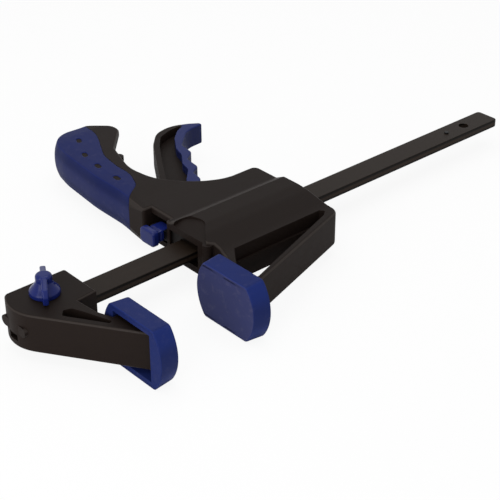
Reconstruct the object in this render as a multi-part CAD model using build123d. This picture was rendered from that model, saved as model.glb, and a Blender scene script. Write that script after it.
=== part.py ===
from build123d import *

import os
from math import cos, hypot, radians, sin, tan

# Quick release bar clamp lying flat, in millimetres, +Z up.
# X runs along the bar from the fixed jaw to the far end, +Y towards the pistol grip and
# -Y towards the jaw pads. The model is drawn with X = 0 on the fixed pad's clamping face,
# Y = 0 on the bar's centre line and Z = 0 on the bar's middle plane. It is written with its
# origin at the centre of the fixed pad's clamping face.

# ---------------------------------------------------------------- bar
bar_w = 19.0                # width, along Y
bar_t = 6.0                 # thickness, along Z
bar_length = 431.0
bar_start = -51.5           # front end, inside the fixed jaw
bar_corner_r = 3.0
bar_edge_r = 0.8
bar_hole_r = 3.75
bar_hole_inset = 28.5       # far hole, from the bar's far end
stop_pin_inset = 47.9
stop_pin_r = 1.75
stop_pin_length = 8.0
bar_side = bar_w / 2
bar_top = bar_t / 2
bar_end = bar_start + bar_length

# ---------------------------------------------------------------- clearances
guide_gap = 0.25            # bar in the head's guides
seat_gap = 0.15             # bar in the fixed jaw
tongue_gap = 0.3            # jaw tongue in a soft pad's socket
pin_gap = 0.05              # radial, turning on a pin
moving_gap = 0.4            # moving plates and levers beside the shell

# ---------------------------------------------------------------- jaw pads
pad_reach = 63.6            # bar centre line to the pads' middle
jaw_opening = 57.0          # between the pads' faces, as drawn
pad_thickness = 13.5
pad_half = 19.6             # half height in Z, and half of the straight width in Y
pad_draft = 1.0             # the back is larger all round
pad_bulge = 7.2
pad_socket_depth = 8.0
pad_socket_y = 17.3         # half width of the socket
pad_socket_z = 16.3         # half height of the socket, past the jaw's thickness
pad_corner_r = 1.4
pad_edge_r = 0.9

# ---------------------------------------------------------------- jaws
jaw_half = 13.0             # half thickness of the fixed jaw
jaw_top_wall = 6.5          # plastic beyond the bar's +Y edge
jaw_front = -4.6
jaw_back = -53.6            # face of the boss behind the bar's front end
boss_half = 3.4
boss_length = 4.0
boss_reach = 9.0            # bar centre line to the boss's round ends
jaw_edge_r = 1.5
jaw_pocket_web = 4.0
screw_x = -29.7             # wing screw and the bar's near hole
tongue_top = -pad_reach + pad_socket_y - tongue_gap
tongue_low = -pad_reach - pad_socket_y + tongue_gap
tongue_tip = -pad_thickness + pad_socket_depth - tongue_gap

# ---------------------------------------------------------------- wing screw
stud_r = 2.5
stud_tip = -10.0
stud_gap = 0.25             # radial, in the jaw
stud_run_out = 1.5          # hole below the stud's tip
stud_in_knob = 9.0
nut_width = 8.0
nut_height = 4.0
nut_pocket_gap = 0.15
nut_roof = 1.3              # plastic between bar and nut pocket
knob_flange_r = 9.6
knob_hub_r = 5.2
knob_height = 14.0
wing_thickness = 3.8
wing_edge_r = 1.0
wing_reach = 16.5
wing_height = 13.0
wing_lift = 0.6             # wings above the knob's underside
wing_angle = 59.0           # of the wing, from the X axis
knob_lift = 0.1             # under the flange

# ---------------------------------------------------------------- head shell
head_z = 13.5               # half thickness of the body
grip_z = 14.0               # half thickness of the grip
arm_z = 12.4                # half thickness of the arm
crest_z = 17.3              # half thickness over the bar
head_front = 79.0
head_back = 175.0
head_edge_r = 2.0
arm_front = 82.5
arm_opening_front = 90.0
arm_bridge_x = 76.5         # back of the arm's front end, behind the pad
arm_bridge_t = 5.0
opening_rib_w = 2.0
opening_rib_z = 2.5
window_depth = 6.0          # opening round the bar at the head's front
window_low = 2.0
window_high = 8.0
window_half = 8.2
post_r = 3.4
post_step = 0.3             # post below the roof
cover_skin = 3.0            # soft cover on the grip
crown_bulge = 2.5           # grip's palm side, from lip to middle
slot_length = 7.0           # slots in the cover, through which the shell shows
slot_width = 3.6
slot_sink = 0.5             # shell below the cover there
nub_r = 4.0                 # on the finger side of the grip
nub_step = 1.0
channel_half = 9.6          # half height of the channel on the finger side

# ---------------------------------------------------------------- trigger
trigger_pivot = (110.0, bar_side + 28.5)
trigger_half = 8.0
hub_r = 7.5
nose_r = 3.2
pivot_pin_r = 3.0
pivot_pin_length = 24.0
trigger_recess = 6.3
trigger_edge_r = 1.0
pin_press_gap = 0.02        # pivot pin in the shells
pin_end_gap = 0.1

# ---------------------------------------------------------------- drive
drive_plate_t = 4.0
drive_plate_half = 9.5      # in Z
drive_first_x = 108.0
drive_plate_space = 0.3
drive_travel = 5.9
plate_slot_gap_y = 0.6
plate_slot_gap_z = 0.3
spring_wire = 1.6
spring_turns = 6
spring_back = 138.0

# ---------------------------------------------------------------- brake and release
brake_plate_t = 5.0         # also its round foot
brake_plate_half = 8.0
brake_tab_half = 3.5
brake_tilt = 8.0
brake_shoulder = bar_side + 11.5
brake_slot_gap_y = 0.8
brake_slot_gap_z = 0.4
brake_room_gap = 0.7        # in front of the plate at its foot
brake_pivot_x = 88.0
brake_top = bar_side + 28.5
button_front = 69.9
button_half = 5.8
button_low = bar_side + 13.6
button_high = bar_side + 28.6
button_cap_t = 4.6
button_cap_r = 3.0
button_waist_step = 2.0
button_collar_front = 6.5   # collar before and behind the plate's rear face
button_collar_back = 2.2
button_collar_r = 2.6
button_collar_step = 1.3    # collar inside the cap's outline
brake_spring_wire = 0.9
brake_spring_r = 3.5
brake_spring_turns = 6

# ---------------------------------------------------------------- housing screws
screw_r = 2.0
screw_head_r = 3.75
screw_head_t = 2.8
screw_seat = -9.5
screw_tip = 8.0
screw_cross_length = 4.4
screw_cross_width = 0.9
screw_cross_depth = 1.5
screw_bite_gap = 0.02       # shank in the upper shell
screw_pass_gap = 0.2        # shank in the lower shell
screw_head_gap = 0.25

# ================================================================ worked out
brake_pivot_y = -bar_side - 5.0
brake_foot = (brake_pivot_x, brake_pivot_y)
brake_spring_y = bar_side + 7.0
nose_y = bar_side + nose_r + 3.3
nose_x = drive_first_x - 0.2 - nose_r
spring_inner_r = hypot(bar_side, bar_top) + 0.5
spring_outer_r = spring_inner_r + spring_wire
spring_cavity_r = spring_outer_r + 0.5
drive_second_x = drive_first_x + drive_plate_t + drive_plate_space
spring_front = drive_second_x + drive_plate_t
drive_low = -bar_side - 5.0
drive_high = nose_y + 0.6
brake_cavity_z = brake_plate_half + moving_gap + 0.2
trigger_cavity_z = trigger_half + moving_gap
pin_bore_half = pivot_pin_length / 2 + pin_end_gap
brake_back = 97.0           # rear wall of the brake's cavity
trigger_wall = 101.0        # front wall of the trigger's cavity
brake_foot_front = brake_pivot_x - brake_plate_t / 2 - brake_room_gap
screw_places = [
    (90.0, bar_side + 50.5),
    (129.0, bar_side + 148.5),
    (165.0, bar_side + 20.5),
    (165.0, -bar_side - 15.5),
    (98.0, -bar_side - 15.5),
]
post_place = (head_front + 1.0, -bar_side - 11.0)
arm_neck = -bar_side - 14.5 - tongue_top    # from the pad's arm up to the post
nub_place = (111.9, bar_side + 107.8)
slot_places = [
    (104.8, bar_side + 145.8, 62),
    (94.9, bar_side + 124.4, 70),
    (91.7, bar_side + 104.2, 80),
    (90.8, bar_side + 80.7, 88),
]

# Plan outlines: x, y and the radius of the corner there.
head_outline = [
    (head_front, -bar_side - 11.5, 0),
    (head_front, bar_side + 12.0, 2.2),
    (head_front + 4.8, bar_side + 12.0, 0),
    (head_front + 4.8, bar_side + 33.0, 0),
    (77.0, bar_side + 33.0, 2.2),
    (79.4, bar_side + 64.5, 80),
    (79.6, bar_side + 95.5, 120),
    (83.8, bar_side + 137.0, 90),
    (91.3, bar_side + 168.0, 22),
    (121.9, bar_side + 166.3, 20),
    (138.8, bar_side + 150.9, 10),
    (138.4, bar_side + 142.0, 8),
    (117.5, bar_side + 119.5, 15),
    (106.8, bar_side + 87.5, 40),
    (110.0, bar_side + 63.5, 35),
    (128.0, bar_side + 42.0, 60),
    (147.0, bar_side + 31.5, 34),
    (head_back, bar_side + 31.5, 5),
    (head_back, -bar_side - 33.5, 9),
    (jaw_opening - tongue_tip + 0.2, -pad_reach - 14.6, 0),
    (jaw_opening - tongue_tip, tongue_top, 0),
    (arm_bridge_x - arm_bridge_t, tongue_top, 0),
    (arm_front - 3.0, tongue_top + 0.31 * arm_neck, 6),
    (arm_front, tongue_top + 0.76 * arm_neck, 4),
    (arm_front, tongue_top + arm_neck, 0),
]
cover_boundary = [
    (126.0, bar_side + 180.5, 0),
    (122.5, bar_side + 159.3, 20),
    (120.5, bar_side + 145.2, 40),
    (104.1, bar_side + 114.0, 30),
    (101.2, bar_side + 94.5, 60),
    (101.2, bar_side + 79.5, 30),
    (95.0, bar_side + 63.5, 15),
    (84.9, bar_side + 56.8, 20),
    (66.0, bar_side + 40.5, 0),
    (60.0, bar_side + 180.5, 0),
]
arm_opening = [
    (arm_opening_front, -bar_side - 25.2, 2),
    (164.5, -bar_side - 25.2, 1),
    (167.5, -bar_side - 28.0, 1),
    (163.0, -bar_side - 31.6, 1),
    (arm_bridge_x, -pad_reach - 7.0, 3),
    (arm_bridge_x, -pad_reach + 10.6, 6),
]
# Channel along the grip's finger side, between its two lips.
finger_channel = [
    (129.0, bar_side + 175.5, 0),
    (127.5, bar_side + 157.0, 6),
    (133.0, bar_side + 150.0, 8),
    (132.0, bar_side + 142.5, 6),
    (111.5, bar_side + 119.5, 15),
    (105.5, bar_side + 100.5, 0),
    (115.5, bar_side + 97.5, 0),
    (150.0, bar_side + 135.5, 0),
    (150.0, bar_side + 175.5, 0),
]
trigger_outline = [
    (107.0, bar_side + 37.5, 10),
    (110.0, bar_side + 56.5, 50),
    (118.9, bar_side + 69.7, 120),
    (147.5, bar_side + 113.7, 60),
    (161.5, bar_side + 128.0, 20),
    (177.0, bar_side + 131.3, 25),
    (190.5, bar_side + 125.3, 6),
    (197.5, bar_side + 120.5, 1),
    (197.5, bar_side + 117.5, 1),
    (181.5, bar_side + 116.3, 20),
    (163.8, bar_side + 100.0, 6),
    (162.3, bar_side + 86.6, 5),
    (152.9, bar_side + 80.0, 4),
    (151.1, bar_side + 65.6, 5),
    (142.8, bar_side + 61.0, 4),
    (141.0, bar_side + 50.8, 5),
    (127.0, bar_side + 34.9, 30),
    (114.5, bar_side + 24.0, 2),
]
trigger_grip_boundary = [
    (122.5, bar_side + 40.5, 0),
    (132.0, bar_side + 55.5, 12),
    (142.6, bar_side + 66.5, 6),
    (145.4, bar_side + 76.5, 8),
    (153.6, bar_side + 87.5, 8),
    (157.0, bar_side + 98.0, 12),
    (167.0, bar_side + 112.6, 20),
    (176.0, bar_side + 120.6, 12),
    (184.0, bar_side + 124.4, 5),
    (187.5, bar_side + 140.5, 0),
    (215.0, bar_side + 140.5, 0),
    (215.0, bar_side + 50.5, 0),
]
trigger_recess_outline = [
    (119.8, bar_side + 62.0, 3),
    (137.0, bar_side + 89.5, 80),
    (151.0, bar_side + 110.0, 40),
    (160.0, bar_side + 120.5, 10),
    (172.0, bar_side + 125.0, 20),
    (182.5, bar_side + 125.8, 1),
    (182.5, bar_side + 118.0, 0),
    (145.0, bar_side + 62.0, 0),
    (128.5, bar_side + 50.5, 2),
]
trigger_nose_arm = [
    (nose_x - nose_r + 0.2, nose_y, 0),
    (nose_x + nose_r - 1.7, nose_y, 0),
    (trigger_pivot[0] + 4.5, trigger_pivot[1], 0),
    (trigger_pivot[0] - 6.5, trigger_pivot[1], 0),
]
trigger_room = [
    (trigger_wall, nose_y - nose_r - 1.2, 1),
    (drive_first_x + 8.0, nose_y - nose_r - 1.2, 1),
    (119.0, bar_side + 21.5, 2),
    (130.3, bar_side + 33.9, 20),
    (160.0, bar_side + 67.5, 0),
    (140.0, bar_side + 100.5, 0),
    (112.0, bar_side + 83.5, 0),
    (106.8, bar_side + 70.5, 15),
    (101.7, bar_side + 54.5, 25),
    (trigger_wall, bar_side + 35.5, 25),
]
brake_room = [
    (brake_foot_front, brake_pivot_y - 1.5, 0),
    (brake_foot_front, brake_pivot_y + 3.0, 0),
    (head_front + 1.0, bar_side + 11.0, 0),
    (head_front - 6.0, bar_side + 12.0, 0),
    (head_front - 6.0, bar_side + 33.0, 0),
    (brake_back, bar_side + 33.0, 2),
    (brake_back, brake_pivot_y - 1.5, 2),
]
fixed_jaw_outline = [
    (-48.4, bar_side + jaw_top_wall, 4),
    (jaw_front, bar_side + jaw_top_wall, 2),
    (jaw_front, -bar_side - 7.8, 0),
    (-19.0, -bar_side - 9.3, 0),
    (-17.6, tongue_top + 10.6, 12),
    (-pad_thickness - 0.3, tongue_top, 0),
    (tongue_tip, tongue_top, 0),
    (tongue_tip, tongue_low, 0),
    (-50.0, -bar_side - 5.1, 40),
    (-57.4, -0.3, 25),
]
fixed_arm_pocket = [
    (-36.0, -bar_side - 17.0, 2),
    (-32.0, -bar_side - 12.8, 1.5),
    (-27.0, -bar_side - 14.5, 3),
    (-22.2, tongue_top + 10.6, 20),
    (-17.4, tongue_top - 3.9, 0.8),
    (-19.6, tongue_top - 5.2, 0.8),
]

# Section outlines. Across the head: y, z and corner radius.
roof_section = [
    (-pad_reach - 46.4, -1.0, 0),
    (-pad_reach - 46.4, arm_z, 0),
    (-bar_side - 23.5, arm_z, 40),
    (-bar_side - 4.5, crest_z - 0.9, 30),
    (-4.0, crest_z, 25),
    (bar_side + 0.4, crest_z, 1.2),
    (bar_side + 8.0, head_z, 6),
    (bar_side + 45.5, head_z, 150),
    (bar_side + 70.5, grip_z, 150),
    (bar_side + 190.5, grip_z, 0),
    (bar_side + 190.5, -1.0, 0),
]
# Sloping facet over the window at the head's front: its slope as x and z, and its plan.
facet_section = [(75.0, 12.0), (110.0, 20.4), (110.0, 30.0), (75.0, 30.0)]
facet_plan = [
    (75.0, bar_side + 3.2, 0),
    (90.0, bar_side + 3.2, 7),
    (94.0, -1.5, 9),
    (77.5, -22.0, 0),
    (75.0, -22.0, 0),
]
# Route along the grip's palm side, and the cut that rolls it in towards the lip: z, inwards.
crown_route = [
    (75.4, bar_side + 34.5, 0),
    (79.4, bar_side + 64.5, 80),
    (79.6, bar_side + 95.5, 120),
    (83.8, bar_side + 137.0, 90),
    (91.3, bar_side + 168.0, 22),
    (121.9, bar_side + 166.3, 60),
    (150.0, bar_side + 170.5, 0),
]
crown_section = [
    (-1.0, -8.0, 0),
    (-1.0, 0.0, 0),
    (6.0, 0.0, 30),
    (grip_z - 0.8, crown_bulge, 0.6),
    (grip_z + 0.2, 14.0, 0),
    (grip_z + 6.0, 14.0, 0),
    (grip_z + 6.0, -8.0, 0),
]
# Wing knob, above the jaw: radius or reach, height and corner radius.
knob_section = [
    (0.0, 0.0, 0),
    (knob_flange_r, 0.0, 0.5),
    (knob_flange_r, 2.8, 2.2),
    (knob_hub_r + 1.4, 6.4, 3.0),
    (knob_hub_r, 9.0, 1.5),
    (knob_hub_r, knob_height, 2.2),
    (0.0, knob_height, 0),
]
wing_section = [
    (1.4 - wing_reach, wing_lift, 0.8),
    (wing_reach - 1.4, wing_lift, 0.8),
    (wing_reach, wing_height / 2, 3.0),
    (wing_reach - 2.0, wing_height - 2.0, 3.0),
    (knob_hub_r, wing_height, 5.0),
    (-knob_hub_r, wing_height, 5.0),
    (2.0 - wing_reach, wing_height - 2.0, 3.0),
    (-wing_reach, wing_height / 2, 3.0),
]


# ================================================================ helpers
def rounded_face(outline):
    """Face inside a closed outline of (first, second, corner radius) points."""
    points = [(x, y) for x, y, _ in outline]
    radii = [radius for *_, radius in outline]
    return make_face(FilletPolyline(*points, radius=radii, close=True))


def prism(outline, bottom, top):
    """Upright solid over a plan outline."""
    face = Pos(0, 0, bottom) * rounded_face(outline)
    return extrude(face, amount=top - bottom, dir=(0, 0, 1))


def block(x_range, y_range, z_range):
    """Box between two values along each axis."""
    ranges = (x_range, y_range, z_range)
    middle = [(low + high) / 2 for low, high in ranges]
    size = [high - low for low, high in ranges]
    return Pos(*middle) * Box(*size)


def rod(place, bottom, top, radius):
    """Upright cylinder at a plan position."""
    return Pos(place[0], place[1], (bottom + top) / 2) * Cylinder(radius, top - bottom)


def along_x(x_range, y, z, radius):
    """Cylinder along the bar."""
    middle = sum(x_range) / 2
    return Pos(middle, y, z) * Rot(0, 90, 0) * Cylinder(radius, x_range[1] - x_range[0])


def coil(x_range, y, z, radius, wire, turns):
    """Compression spring along X, between its two seats."""
    height = x_range[1] - x_range[0] - 1.4 * wire
    path = Helix(pitch=height / turns, height=height, radius=radius)
    section = Plane(origin=path @ 0, z_dir=path % 0) * Circle(wire / 2)
    spring = sweep(section, path=path)
    return Pos(x_range[0] + 0.7 * wire, y, z) * Rot(0, 90, 0) * spring


def tilted(solid, degrees_back):
    """Turn a solid about the brake's fulcrum, its free end towards the fixed jaw."""
    at_fulcrum = Pos(brake_pivot_x, brake_pivot_y, 0)
    return at_fulcrum * Rot(0, 0, degrees_back) * at_fulcrum.inverse() * solid


def both_sides(upper):
    """An upper solid and its mirror image below the middle plane."""
    return [upper, mirror(upper, Plane.XY)]


# ================================================================ bar and fixed jaw
def make_bar():
    plan = [
        (bar_start, -bar_side, 0),
        (bar_end, -bar_side, bar_corner_r),
        (bar_end, bar_side, bar_corner_r),
        (bar_start, bar_side, 0),
    ]
    bar = prism(plan, -bar_top, bar_top)
    rims = [edge for edge in bar.edges() if abs(abs(edge.center().Z) - bar_top) < 0.01]
    bar = fillet(rims, bar_edge_r)
    for hole_x in (screw_x, bar_end - bar_hole_inset):
        bar -= rod((hole_x, 0), -bar_top, bar_top, bar_hole_r)
    return bar - rod((bar_end - stop_pin_inset, 0), -bar_top, bar_top, stop_pin_r)


def make_stop_pin():
    half = stop_pin_length / 2
    pin = rod((bar_end - stop_pin_inset, 0), -half, half, stop_pin_r)
    return chamfer(pin.edges().filter_by(GeomType.CIRCLE), 0.3)


def nut_pocket():
    """Slot for the square nut, open at the back of the jaw."""
    top = -bar_top - nut_roof
    half = nut_width / 2 + nut_pocket_gap
    low = top - nut_height - 2 * nut_pocket_gap
    return block((bar_start - jaw_half, screw_x + half + 1.0), (-half, half), (low, top))


def make_fixed_jaw():
    jaw = prism(fixed_jaw_outline, -jaw_half, jaw_half)
    rims = [edge for edge in jaw.edges() if abs(abs(edge.center().Z) - jaw_half) < 0.01]
    jaw = fillet(rims, jaw_edge_r)
    boss_x = (jaw_back, jaw_back + boss_length)
    boss = block(boss_x, (-boss_reach, boss_reach), (-boss_half, boss_half))
    for side in (-1, 1):
        boss += along_x(boss_x, side * boss_reach, 0, boss_half)
    jaw += boss
    jaw -= block(
        (bar_start - 0.3, 0),
        (-bar_side - seat_gap, bar_side + seat_gap),
        (-bar_top - seat_gap, bar_top + seat_gap),
    )
    for pocket in both_sides(prism(fixed_arm_pocket, jaw_pocket_web / 2, jaw_half + 1)):
        jaw -= pocket
    jaw -= rod((screw_x, 0), stud_tip - stud_run_out, jaw_half + 1, stud_r + stud_gap)
    return jaw - nut_pocket()


def make_nut():
    top = -bar_top - nut_roof - nut_pocket_gap
    half = nut_width / 2
    nut = block((screw_x - half, screw_x + half), (-half, half), (top - nut_height, top))
    nut = chamfer(nut.edges().filter_by(Axis.Z), 0.6)
    return nut - rod((screw_x, 0), top - nut_height, top, stud_r + pin_gap)


def make_wing_knob():
    """Bell-shaped knob with one blade across it, lifted off the jaw by its clearance."""
    bell = revolve(Plane.XZ * rounded_face(knob_section), axis=Axis.Z)
    half_t = wing_thickness / 2
    blade = extrude(Plane.XZ * rounded_face(wing_section), amount=half_t, both=True)
    sides = [edge for edge in blade.edges() if abs(abs(edge.center().Y) - half_t) < 0.01]
    blade = fillet(sides, wing_edge_r)
    knob = bell + Rot(0, 0, wing_angle) * blade
    knob -= rod((0, 0), 0, stud_in_knob, stud_r)
    return Pos(screw_x, 0, jaw_half + knob_lift) * knob


def make_stud():
    top = jaw_half + knob_lift + stud_in_knob
    stud = rod((screw_x, 0), stud_tip, top, stud_r)
    return chamfer(stud.edges().sort_by(Axis.Z)[0], 0.6)


def pad_section(x, grow):
    """Pad outline across the bar: flat above and below, bulging at both sides."""
    half = pad_half + grow
    corner = pad_half
    bulge = corner + pad_bulge + grow
    outline = [
        Line((-corner, half), (corner, half)),
        ThreePointArc((corner, half), (bulge, 0), (corner, -half)),
        Line((corner, -half), (-corner, -half)),
        ThreePointArc((-corner, -half), (-bulge, 0), (-corner, half)),
    ]
    plane = Plane(origin=(x, -pad_reach, 0), x_dir=(0, 1, 0), z_dir=(1, 0, 0))
    return plane * make_face(outline)


def make_fixed_pad():
    pad = loft([pad_section(-pad_thickness, pad_draft), pad_section(0, 0)])
    back, front = pad.faces().sort_by(Axis.X)[0], pad.faces().sort_by(Axis.X)[-1]
    ends = back.edges() + front.edges()
    corners = [edge for edge in pad.edges() if not any(edge.is_same(end) for end in ends)]
    pad = fillet(corners, pad_corner_r)
    pad = fillet(pad.faces().sort_by(Axis.X)[-1].edges(), pad_edge_r)
    pad = fillet(pad.faces().sort_by(Axis.X)[0].edges(), pad_edge_r / 2)
    socket = block(
        (-pad_thickness, -pad_thickness + pad_socket_depth),
        (-pad_reach - pad_socket_y, -pad_reach + pad_socket_y),
        (-pad_socket_z, pad_socket_z),
    )
    return pad - socket


def make_moving_pad():
    return Pos(jaw_opening, 0, 0) * mirror(make_fixed_pad(), Plane.YZ)


# ================================================================ head shells
def head_form():
    """Outer form of the upper half of the head, solid, with its rounded edge."""
    section = Plane.YZ * rounded_face(roof_section)
    long_roof = extrude(section, amount=2 * head_back, dir=(1, 0, 0))
    form = prism(head_outline, 0, crest_z + 1) & long_roof
    rims = [edge for edge in form.edges() if is_rim(edge, form)]
    form = fillet(rims, head_edge_r)
    return form - front_facet() - grip_crown()


def is_rim(edge, form):
    """True on an edge between the roof and an upright wall."""
    if edge.center().Z < arm_z - 1.5:
        return False
    walls = 0
    for face in form.faces():
        if not any(edge.is_same(other) for other in face.edges()):
            continue
        upright = abs(face.normal_at(face.center()).Z) < 0.02
        walls += upright and face.bounding_box().size.Z > 8
    return walls == 1


def front_facet():
    """Sloping cut across the arched roof, at the head's front."""
    slope = Plane.XZ * make_face(Polyline(*facet_section, close=True))
    wedge = extrude(slope, amount=2 * pad_reach, both=True)
    return wedge & prism(facet_plan, 0, 30)


def grip_crown():
    """What is cut from the palm side of the grip: a bulging flank under a low lip."""
    points = [(x, y) for x, y, _ in crown_route]
    radii = [radius for *_, radius in crown_route[1:-1]]
    path = FilletPolyline(*points, radius=radii)
    across = Plane(origin=path @ 0, x_dir=(0, 0, 1), z_dir=path % 0)
    return sweep(across * rounded_face(crown_section), path=path)


def grip_core():
    """Shell plastic under the soft cover, upper half, with what fills the cover's slots."""
    inner = offset(rounded_face(head_outline), amount=-cover_skin, kind=Kind.INTERSECTION)
    core = extrude(inner, amount=grip_z - cover_skin, dir=(0, 0, 1))
    for x, y, angle in slot_places:
        slot = extrude(SlotOverall(slot_length, slot_width), amount=grip_z - slot_sink, dir=(0, 0, 1))
        core += Pos(x, y, 0) * Rot(0, 0, angle) * slot
    return core


def grip_slots():
    """Long slots through the cover's top, in a row along the grip."""
    slot = extrude(SlotOverall(slot_length, slot_width), amount=grip_z, dir=(0, 0, 1))
    bottom = grip_z - cover_skin
    return [Pos(x, y, bottom) * Rot(0, 0, angle) * slot for x, y, angle in slot_places]


def head_cavities():
    """Everything that is cut from the two shells inside, above and below the bar."""
    guide = block(
        (head_front - 1, head_back + 1),
        (-bar_side - guide_gap, bar_side + guide_gap),
        (-bar_top - guide_gap, bar_top + guide_gap),
    )
    window = block(
        (head_front - 1, head_front + window_depth),
        (-bar_side - window_low, bar_side + window_high),
        (-window_half, window_half),
    )
    spring_seat = along_x((brake_back - 1, brake_back + 2.0), brake_spring_y, 0, brake_spring_r + 0.3)
    drive_room = block(
        (drive_first_x - moving_gap, spring_front + drive_travel + moving_gap),
        (drive_low - moving_gap, drive_high + moving_gap),
        (-drive_plate_half - moving_gap, drive_plate_half + moving_gap),
    )
    return [
        guide,
        window,
        prism(finger_channel, -channel_half, channel_half),
        prism(brake_room, -brake_cavity_z, brake_cavity_z),
        rod(brake_foot, -brake_cavity_z, brake_cavity_z, brake_plate_t / 2 + pin_gap),
        spring_seat,
        drive_room,
        along_x((spring_front - 1, spring_back), 0, 0, spring_cavity_r),
        prism(trigger_room, -trigger_cavity_z, trigger_cavity_z),
        rod(trigger_pivot, -pin_bore_half, pin_bore_half, pivot_pin_r + pin_press_gap),
    ]


def opening_rib():
    """Stiffening rim round the middle of the arm's opening."""
    ring = prism(arm_opening, 0, opening_rib_z)
    inner = offset(rounded_face(arm_opening), amount=-opening_rib_w)
    return ring - extrude(inner, amount=opening_rib_z + 1, dir=(0, 0, 1))


def upper_form():
    """Upper shell with its cover still on, before the cavities."""
    form = head_form() - prism(arm_opening, -1, crest_z + 2) + opening_rib()
    post = rod(post_place, 0, head_z - post_step, post_r)
    nub = rod(nub_place, 0, grip_z - nub_step, nub_r)
    return form + post + nub


def split_cover(form):
    """Separate the soft cover from the shell under it."""
    zone = prism(cover_boundary, 0, 30)
    cover = (form & zone) - grip_core()
    for slot in grip_slots():
        cover -= slot
    return form - (form & zone) + (form & zone & grip_core()), cover


def make_shells():
    """Upper and lower shell, and the two halves of the grip cover."""
    shell, cover = split_cover(upper_form())
    lower = mirror(shell, Plane.XY)
    for cavity in head_cavities():
        shell -= cavity
        lower -= cavity
    for place in screw_places:
        shell -= rod(place, 0, screw_tip + 0.5, screw_r + screw_bite_gap)
        lower -= rod(place, screw_seat, 0, screw_r + screw_pass_gap)
        lower -= rod(place, -grip_z - 1, screw_seat, screw_head_r + screw_head_gap)
    return shell, lower, cover, mirror(cover, Plane.XY)


def make_housing_screws():
    screws = []
    for place in screw_places:
        shank = rod(place, screw_seat, screw_tip, screw_r)
        shank = chamfer(shank.edges().sort_by(Axis.Z)[-1], 0.8)
        head = rod(place, screw_seat - screw_head_t, screw_seat, screw_head_r)
        head = fillet(head.edges().sort_by(Axis.Z)[0], 0.9)
        below = screw_seat - screw_head_t
        for angle in (0, 90):
            cross = Box(screw_cross_length, screw_cross_width, 2 * screw_cross_depth)
            head -= Pos(place[0], place[1], below) * Rot(0, 0, angle) * cross
        screws.append(head + shank)
    return Compound(screws)


# ================================================================ trigger
def make_trigger():
    blade = prism(trigger_outline, -trigger_half, trigger_half)
    rims = [edge for edge in blade.edges() if abs(abs(edge.center().Z) - trigger_half) < 0.01]
    blade = fillet(rims, trigger_edge_r)
    grip_zone = prism(trigger_grip_boundary, -20, 20)
    grip = blade & grip_zone
    body = blade - grip_zone
    body += prism(trigger_nose_arm, -trigger_half, trigger_half)
    body += rod(trigger_pivot, -trigger_half, trigger_half, hub_r)
    body += rod((nose_x, nose_y), -trigger_half, trigger_half, nose_r)
    depth = trigger_half - trigger_recess
    for recess in both_sides(prism(trigger_recess_outline, depth, trigger_half + 1)):
        body -= recess
    body -= rod(trigger_pivot, -trigger_half, trigger_half, pivot_pin_r + pin_gap)
    return body, grip


def make_pivot_pin():
    half = pivot_pin_length / 2
    pin = rod(trigger_pivot, -half, half, pivot_pin_r)
    return chamfer(pin.edges().filter_by(GeomType.CIRCLE), 0.4)


# ================================================================ drive
def make_drive_plate(front_x):
    plate = block(
        (front_x, front_x + drive_plate_t),
        (drive_low, drive_high),
        (-drive_plate_half, drive_plate_half),
    )
    plate = fillet(plate.edges().filter_by(Axis.X), 1.5)
    return plate - block(
        (front_x - 1, front_x + drive_plate_t + 1),
        (-bar_side - plate_slot_gap_y, bar_side + plate_slot_gap_y),
        (-bar_top - plate_slot_gap_z, bar_top + plate_slot_gap_z),
    )


def make_drive_spring():
    radius = spring_inner_r + spring_wire / 2
    return coil((spring_front, spring_back), 0, 0, radius, spring_wire, spring_turns)


# ================================================================ brake and release button
def brake_back_face(y):
    """X of the tilted brake plate's rear face, beside the bar."""
    rise = y - brake_pivot_y
    tilt = radians(brake_tilt)
    return brake_pivot_x - rise * tan(tilt) + brake_plate_t / 2 / cos(tilt)


def make_brake_plate():
    """Steel plate, drawn upright on its round fulcrum end and then tilted."""
    half_t = brake_plate_t / 2
    front, back = brake_pivot_x - half_t, brake_pivot_x + half_t
    plate = block((front, back), (brake_pivot_y, brake_shoulder), (-brake_plate_half, brake_plate_half))
    plate += block((front, back), (brake_shoulder - 1, brake_top), (-brake_tab_half, brake_tab_half))
    plate += rod(brake_foot, -brake_plate_half, brake_plate_half, half_t)
    slot_half = bar_side + brake_slot_gap_y
    middle = brake_pivot_y / cos(radians(brake_tilt)) - brake_pivot_y
    plate -= block(
        (front - 1, back + 1),
        (-middle - slot_half, -middle + slot_half),
        (-bar_top - brake_slot_gap_z, bar_top + brake_slot_gap_z),
    )
    return tilted(plate, brake_tilt)


def make_release_button():
    """Button pushed over the brake plate's tab: round cap, waist and collar."""
    low, high, half = button_low, button_high, button_half
    plate_x = brake_back_face((low + high) / 2)
    cap_back = button_front + button_cap_t
    cap = block((button_front, cap_back), (low, high), (-half, half))
    cap = fillet(cap.edges().filter_by(Axis.X), button_cap_r)
    cap = fillet(cap.faces().sort_by(Axis.X)[0].edges(), button_cap_r * 0.4)
    step = button_waist_step
    waist = block((cap_back - 0.2, plate_x + 1), (low + step, high - step), (step - half, half - step))
    collar_x = (plate_x - button_collar_front, plate_x + button_collar_back)
    inset = button_collar_step
    collar = block(collar_x, (low + inset, high - inset), (inset - half, half - inset))
    collar = fillet(collar.edges().filter_by(Axis.X), button_collar_r)
    button = cap + waist + collar
    half_t = brake_plate_t / 2
    tab = block(
        (brake_pivot_x - half_t, brake_pivot_x + half_t),
        (bar_side, brake_top),
        (-brake_tab_half, brake_tab_half),
    )
    return button - tilted(tab, brake_tilt)


def make_brake_spring():
    front = brake_back_face(brake_spring_y) + 0.5
    radius = brake_spring_r - brake_spring_wire / 2
    return coil((front, brake_back + 2.0), brake_spring_y, 0, radius, brake_spring_wire, brake_spring_turns)


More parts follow.
